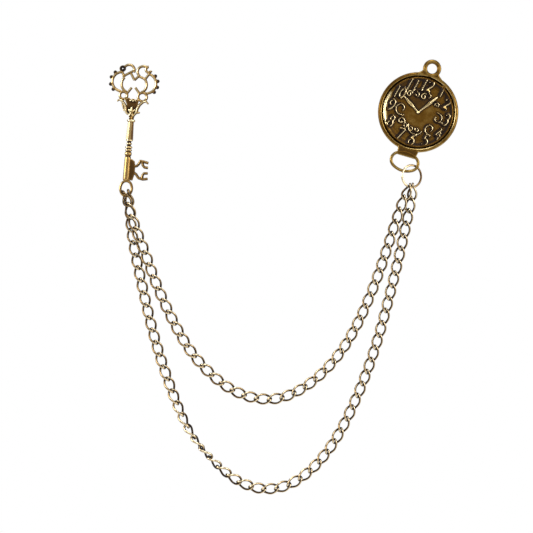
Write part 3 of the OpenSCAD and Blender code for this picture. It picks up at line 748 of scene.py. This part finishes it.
def blended(a, b, c, d, t):
    """A point between b and c on the smooth curve through four rows."""
    bent = 2 * a - 5 * b + 4 * c - d
    return 0.5 * (2 * b + (c - a) * t + bent * t * t + (3 * b - a - 3 * c + d) * t ** 3)


def link_places(route):
    """Each link's matrix along the smooth curve through the route's rows of x, y, height and roll."""
    rows = [Vector(r) for r in route]
    last = len(rows) - 1
    points = []
    for i in range(last):
        for j in range(CURVE_STEPS):
            four = rows[max(i - 1, 0)], rows[i], rows[i + 1], rows[min(i + 2, last)]
            points.append(blended(*four, j / CURVE_STEPS))
    points.append(rows[last])
    lengths = [0.0]
    for a, b in zip(points, points[1:]):
        lengths.append(lengths[-1] + (b - a).xyz.length)
    total = lengths[-1]

    def at(distance):
        distance = min(max(distance, 0.0), total)
        i = max(j for j in range(len(lengths) - 1) if lengths[j] <= distance)
        return points[i].lerp(points[i + 1], (distance - lengths[i]) / (lengths[i + 1] - lengths[i]))

    spaces = math.ceil(total / LINK_PITCH)
    places = []
    for i in range(spaces + 1):
        distance = total * i / spaces
        here = at(distance)
        way = at(distance + LINK_PITCH / 2) - at(distance - LINK_PITCH / 2)
        climb = math.atan2(way.z, math.hypot(way.x, way.y))
        heading = math.atan2(way.y, way.x) + math.radians(LINK_SLANT)
        places.append(Matrix.Translation(here.xyz) @ Matrix.Rotation(heading, 4, "Z")
                      @ Matrix.Rotation(-climb, 4, "Y") @ Matrix.Rotation(math.radians(here.w), 4, "X"))
    return places


def link_middle(t):
    """A point on the middle of a link's wire, t round from its end. The link is twisted end to end."""
    x = LINK_HALF * math.cos(t)
    v = LINK_HALF_WIDE * math.copysign(abs(math.sin(t)) ** LINK_SQUARE, math.sin(t))
    a = math.radians(LINK_TWIST) * math.cos(t)
    return Vector((x, v * math.cos(a), v * math.sin(a)))


def plain_ring(wire_r, sides, steps):
    """A spun ring of radius 1, before its sections move to their own path."""
    bm = bmesh.new()
    place = Matrix.Translation((1, 0, 0)) @ Matrix.Rotation(math.radians(90), 4, "X")
    circle = bmesh.ops.create_circle(bm, segments=sides, radius=wire_r, matrix=place)
    geom = circle["verts"] + list({e for v in circle["verts"] for e in v.link_edges})
    bmesh.ops.spin(bm, geom=geom, axis=(0, 0, 1), cent=(0, 0, 0), angle=FULL_TURN, steps=steps,
                   use_merge=True)
    bmesh.ops.remove_doubles(bm, verts=bm.verts, dist=SAME_POINT)
    return bm


def one_link():
    """A link about its own middle, with its even wear, rubbed outside and with painted shade inside its
    ends, and with 1 at its ends as the layer end.
    """
    bm = plain_ring(LINK_WIRE / 2, sides=10, steps=36)
    wear = bm.verts.layers.float.new("wear")
    end = bm.verts.layers.float.new("end")
    for vert in bm.verts:
        t = math.atan2(vert.co.y, vert.co.x)
        outward, rise = math.hypot(vert.co.x, vert.co.y) - 1, vert.co.z
        here = link_middle(t)
        along = (link_middle(t + 0.05) - link_middle(t - 0.05)).normalized()
        out = along.cross(here.cross(along)).normalized()
        up = along.cross(out)
        vert[end] = math.cos(t) ** 4
        stout = 1 + END_STOUT * vert[end]
        vert.co = here + (out * outward + up * rise) * stout
        inner = min(0, outward) / LINK_WIRE
        # Rubbed bright outside, and painted shade inside the ends where the next link sits.
        vert[wear] = PLAIN_WIRE + OUTER_RUB_INNER_SHADE * outward / LINK_WIRE + INNER_PAINTED_SHADE * vert[end] * inner
    bmesh.ops.recalc_face_normals(bm, faces=bm.faces)
    mesh = bpy.data.meshes.new("one_link")
    bm.to_mesh(mesh)
    bm.free()
    return mesh


def strand(name, route, link):
    """All links of a strand, with painted light and shade by how each bit of wire lies."""
    bm = bmesh.new()
    for number, place in enumerate(link_places(route)):
        before = len(bm.verts)
        bm.from_mesh(link)
        bm.verts.ensure_lookup_table()
        bmesh.ops.transform(bm, matrix=UPRIGHT @ place, verts=bm.verts[before:])
        wear = bm.verts.layers.float["wear"]
        end = bm.verts.layers.float["end"]
        for vert in bm.verts[before:]:
            if number == 0:
                vert[wear] = FIRST_WEAR
                vert[end] = FIRST_END
                continue
            over = -METRE * vert.co.y - place.translation.z
            aside = (METRE * vert.co.x - place.translation.x) / LINK_HALF_WIDE
            # Painted highlight on ends in front, painted shade on ends behind, painted light left and
            # shade right.
            vert[wear] += FRONT_PAINTED_HIGHLIGHT * vert[end] * ramp(over, *IN_FRONT)
            vert[wear] -= JOINT_PAINTED_SHADE * vert[end] * ramp(over, *BEHIND)
            vert[wear] -= LINK_SIDE_PAINTED_LIGHT * max(-1, min(1, aside))
    bm.normal_update()
    # Painted light on the wire's upper, lower and left sides, painted shade on its right and flanks and at
    # its ends.
    for vert in bm.verts:
        x, y, z = vert.normal
        vert[wear] += (LEVEL_PAINTED_LIGHT * abs(z) - WIRE_LEFT_PAINTED_LIGHT * x - SIDE_PAINTED_SHADE * abs(x)
                       - END_PAINTED_SHADE * vert[end] * (1 - abs(y)))
    bm.verts.layers.float.remove(end)
    return finished(name, bm)


def finished(name, bm):
    """A smooth shape, already in its place, as a piece."""
    for face in bm.faces:
        face.smooth = True
    mesh = bpy.data.meshes.new(name)
    bm.to_mesh(mesh)
    bm.free()
    piece = bpy.data.objects.new(name, mesh)
    bpy.context.collection.objects.link(piece)
    return piece


RING_RADIUS = 3.45
RING_WIRE = 0.34                # radius of its wire
RING_WEAR = 0.66
RING_LEFT_PAINTED_LIGHT = 0.2             # painted light on its left, and painted shade on its right
RING_PLACE = Matrix.Translation((-2.05, -20.0, HANG)) @ Matrix.Rotation(math.radians(28), 4, "Y")


def round_ring():
    bm = plain_ring(RING_WIRE / RING_RADIUS, sides=16, steps=96)
    wear = bm.verts.layers.float.new("wear")
    for vert in bm.verts:
        # Painted light on the ring's left and painted shade on its right.
        vert[wear] = RING_WEAR - RING_LEFT_PAINTED_LIGHT * vert.co.x
    place = RING_PLACE @ Matrix.Scale(RING_RADIUS, 4)
    bmesh.ops.transform(bm, matrix=UPRIGHT @ place, verts=bm.verts)
    bmesh.ops.recalc_face_normals(bm, faces=bm.faces)
    return finished("round_ring", bm)


# Finishes.
class Signal:
    """A number on its way through a finish. Sums written on it add the nodes."""

    def __init__(self, finish, socket):
        self.finish = finish
        self.socket = socket

    def sum_with(self, operation, first, second):
        return self.finish.node("ShaderNodeMath", {"operation": operation}, {0: first, 1: second})

    def __add__(self, other):
        return self.sum_with("ADD", self, other)

    def __radd__(self, other):
        return self.sum_with("ADD", other, self)

    def __sub__(self, other):
        return self.sum_with("SUBTRACT", self, other)

    def __rsub__(self, other):
        return self.sum_with("SUBTRACT", other, self)

    def __mul__(self, other):
        return self.sum_with("MULTIPLY", self, other)

    def __rmul__(self, other):
        return self.sum_with("MULTIPLY", other, self)


class Finish:
    """One material and its nodes."""

    def __init__(self, name):
        self.material = bpy.data.materials.new(name)
        self.material.use_nodes = True
        self.tree = self.material.node_tree
        self.tree.nodes.clear()

    def node(self, kind, settings=None, inputs=None, output=0):
        made = self.tree.nodes.new(kind)
        for key, value in (settings or {}).items():
            if key == "stops":
                band = made.color_ramp
                while len(band.elements) < len(value):
                    band.elements.new(0.5)
                for element, (place, colour) in zip(band.elements, value):
                    element.position = place
                    element.color = (*colour, 1)
            else:
                setattr(made, key, value)
        for key, value in (inputs or {}).items():
            if isinstance(value, Signal):
                self.tree.links.new(value.socket, made.inputs[key])
            else:
                made.inputs[key].default_value = value
        return Signal(self, made.outputs[output])

    def close(self, shader):
        out = self.tree.nodes.new("ShaderNodeOutputMaterial")
        self.tree.links.new(shader.socket, out.inputs["Surface"])
        return self.material


# Colours of bronze from its hollows and painted shade to its rubbed edges and painted highlights.
CAST_STOPS = [
    (0.15, (0.012, 0.004, 0.001)), (0.48, (0.15, 0.075, 0.012)), (0.68, (0.36, 0.24, 0.07)),
    (1.0, (0.98, 0.82, 0.48)),
]
KEY_STOPS = [
    (0.14, (0.012, 0.005, 0.002)), (0.42, (0.18, 0.09, 0.022)), (0.64, (0.5, 0.33, 0.12)),
    (0.95, (1.0, 0.88, 0.56)),
]
WIRE_STOPS = [
    (0.18, (0.009, 0.004, 0.002)), (0.46, (0.115, 0.067, 0.028)), (0.66, (0.38, 0.27, 0.135)),
    (0.9, (0.92, 0.78, 0.53)),
]


def antique_bronze(name, stops, roughness, grain, patchy):
    """Bronze that is dark in its hollows and rubbed bright on its edges, with painted light and shade,
    read from the attribute wear.

    roughness is that of its hollows and of its edges, grain the height of its fine pits in metres, and
    patchy how far its tarnish varies."""
    finish = Finish(name)
    coord = finish.node("ShaderNodeTexCoord", output="Object")
    blotch = finish.node("ShaderNodeTexNoise", None,
                         {"Vector": coord, "Scale": 420, "Detail": 3, "Roughness": 0.6})
    pits = finish.node("ShaderNodeTexNoise", None,
                       {"Vector": coord, "Scale": 5000, "Detail": 2, "Roughness": 0.6})
    wear = finish.node("ShaderNodeAttribute", {"attribute_name": "wear"}, output="Fac")
    shown = wear + (blotch - 0.5) * patchy + (pits - 0.5) * (0.4 * patchy)
    colour = finish.node("ShaderNodeValToRGB", {"stops": stops}, {"Fac": shown})
    rough = finish.node("ShaderNodeMapRange", None, {"Value": shown, "From Min": 0.2, "From Max": 0.8,
                                                     "To Min": roughness[0], "To Max": roughness[1]})
    metal = finish.node("ShaderNodeMapRange", None, {"Value": shown, "From Min": 0.1, "From Max": 0.45,
                                                     "To Min": 0.55, "To Max": 1.0})
    bump = finish.node("ShaderNodeBump", None,
                       {"Strength": 0.5, "Distance": grain, "Height": pits + blotch})
    shader = finish.node("ShaderNodeBsdfPrincipled", None, {"Base Color": colour, "Roughness": rough,
                                                            "Metallic": metal, "Normal": bump})
    return finish.close(shader)


def plated_steel():
    """Bright steel with fine drawn lines."""
    finish = Finish("plated_steel")
    coord = finish.node("ShaderNodeTexCoord", output="Object")
    drawn = finish.node("ShaderNodeMapping", None, {"Vector": coord, "Scale": (3000, 120, 3000)})
    lines = finish.node("ShaderNodeTexNoise", None, {"Vector": drawn, "Scale": 1, "Detail": 3})
    bump = finish.node("ShaderNodeBump", None, {"Strength": 0.3, "Distance": 0.00002, "Height": lines})
    shader = finish.node("ShaderNodeBsdfPrincipled", None,
                         {"Base Color": (0.62, 0.6, 0.56, 1), "Metallic": 1.0,
                          "Roughness": 0.25 + lines * 0.2, "Normal": bump})
    return finish.close(shader)


# Studio. Each lamp has a place, a size, a power and a tint.
LAMPS = (
    ("right_light", (0.42, -0.22, 0.05), 0.32, 1.7, (1.0, 0.96, 0.9)),
    ("top_light", (0.0, -0.2, 0.45), 0.25, 1.1, (1.0, 0.98, 0.94)),
    ("left_light", (-0.5, -0.17, 0.1), 0.25, 2.0, (1.0, 0.97, 0.92)),
    ("front_light", (0.1, -0.66, 0.22), 0.25, 0.5, (1.0, 0.97, 0.92)),
    ("back_light", (-0.05, 0.5, 0.2), 0.4, 0.5, (1.0, 1.0, 1.0)),
)
LAMPS_AIM = Vector((-0.045, 0, -0.045))
ROOM_LIGHT = 0.28


def camera():
    """Looks straight at the part from the front."""
    eye = bpy.data.objects.new("camera", bpy.data.cameras.new("camera"))
    bpy.context.collection.objects.link(eye)
    eye.data.lens = 135
    eye.data.sensor_width = 36
    eye.location = (-0.0474, -0.6264, -0.0482)
    eye.rotation_euler = (math.radians(90), 0, 0)
    bpy.context.scene.camera = eye


def lamps():
    for name, place, size, power, tint in LAMPS:
        lamp = bpy.data.lights.new(name, "AREA")
        lamp.size = size
        lamp.energy = power
        lamp.color = tint
        stand = bpy.data.objects.new(name, lamp)
        bpy.context.collection.objects.link(stand)
        stand.location = place
        stand.rotation_euler = (LAMPS_AIM - Vector(place)).to_track_quat("-Z", "Y").to_euler()


def surroundings():
    """The camera sees white, and the part feels a soft warm room."""
    world = bpy.data.worlds.new("studio")
    bpy.context.scene.world = world
    world.use_nodes = True
    tree = world.node_tree
    tree.nodes.clear()
    seen = tree.nodes.new("ShaderNodeBackground")
    seen.inputs["Color"].default_value = (1, 1, 1, 1)
    seen.inputs["Strength"].default_value = 1.0
    felt = tree.nodes.new("ShaderNodeBackground")
    felt.inputs["Color"].default_value = (1.0, 0.96, 0.9, 1)
    felt.inputs["Strength"].default_value = ROOM_LIGHT
    ray = tree.nodes.new("ShaderNodeLightPath")
    mix = tree.nodes.new("ShaderNodeMixShader")
    out = tree.nodes.new("ShaderNodeOutputWorld")
    tree.links.new(ray.outputs["Is Camera Ray"], mix.inputs[0])
    tree.links.new(felt.outputs[0], mix.inputs[1])
    tree.links.new(seen.outputs[0], mix.inputs[2])
    tree.links.new(mix.outputs[0], out.inputs["Surface"])
    bpy.context.scene.view_settings.view_transform = "Standard"


def paper_floor():
    """Pale paper below the part and out of sight, which lights it softly from below."""
    bm = bmesh.new()
    place = Matrix.Translation((-0.047, 0, -0.2))
    bmesh.ops.create_circle(bm, cap_ends=True, segments=64, radius=0.45, matrix=place)
    floor = finished("floor", bm)
    paper = Finish("pale_paper")
    paper.close(paper.node("ShaderNodeBsdfPrincipled", None,
                           {"Base Color": (0.86, 0.86, 0.85, 1), "Roughness": 0.8}))
    floor.data.materials.append(paper.material)


def place_piece(piece, material, node):
    piece.data.materials.clear()
    piece.data.materials.append(material)
    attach(piece, "root")
    if node:
        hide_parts(node)


def main():
    camera()
    lamps()
    surroundings()
    paper_floor()
    cast_finish = antique_bronze("watch_bronze", CAST_STOPS, (0.5, 0.24), grain=0.000012, patchy=0.34)
    key_finish = antique_bronze("key_bronze", KEY_STOPS, (0.45, 0.3), grain=0.000008, patchy=0.15)
    wire_finish = antique_bronze("wire_bronze", WIRE_STOPS, (0.42, 0.22), grain=0.000006, patchy=0.08)
    link = one_link()
    place_piece(watch_case(), cast_finish, "watch_charm")
    place_piece(watch_dial(), cast_finish, None)
    place_piece(key_casting(), key_finish, "key_charm")
    place_piece(round_ring(), wire_finish, "jump_ring")
    place_piece(strand("short_strand", SHORT_ROUTE, link), wire_finish, "chain_short")
    place_piece(strand("long_strand", LONG_ROUTE, link), wire_finish, "chain_long")
    bpy.data.meshes.remove(link)
    steel = plated_steel()
    for node in ("watch_pin", "key_pin"):
        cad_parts[node].material_slots[0].material = steel


main()
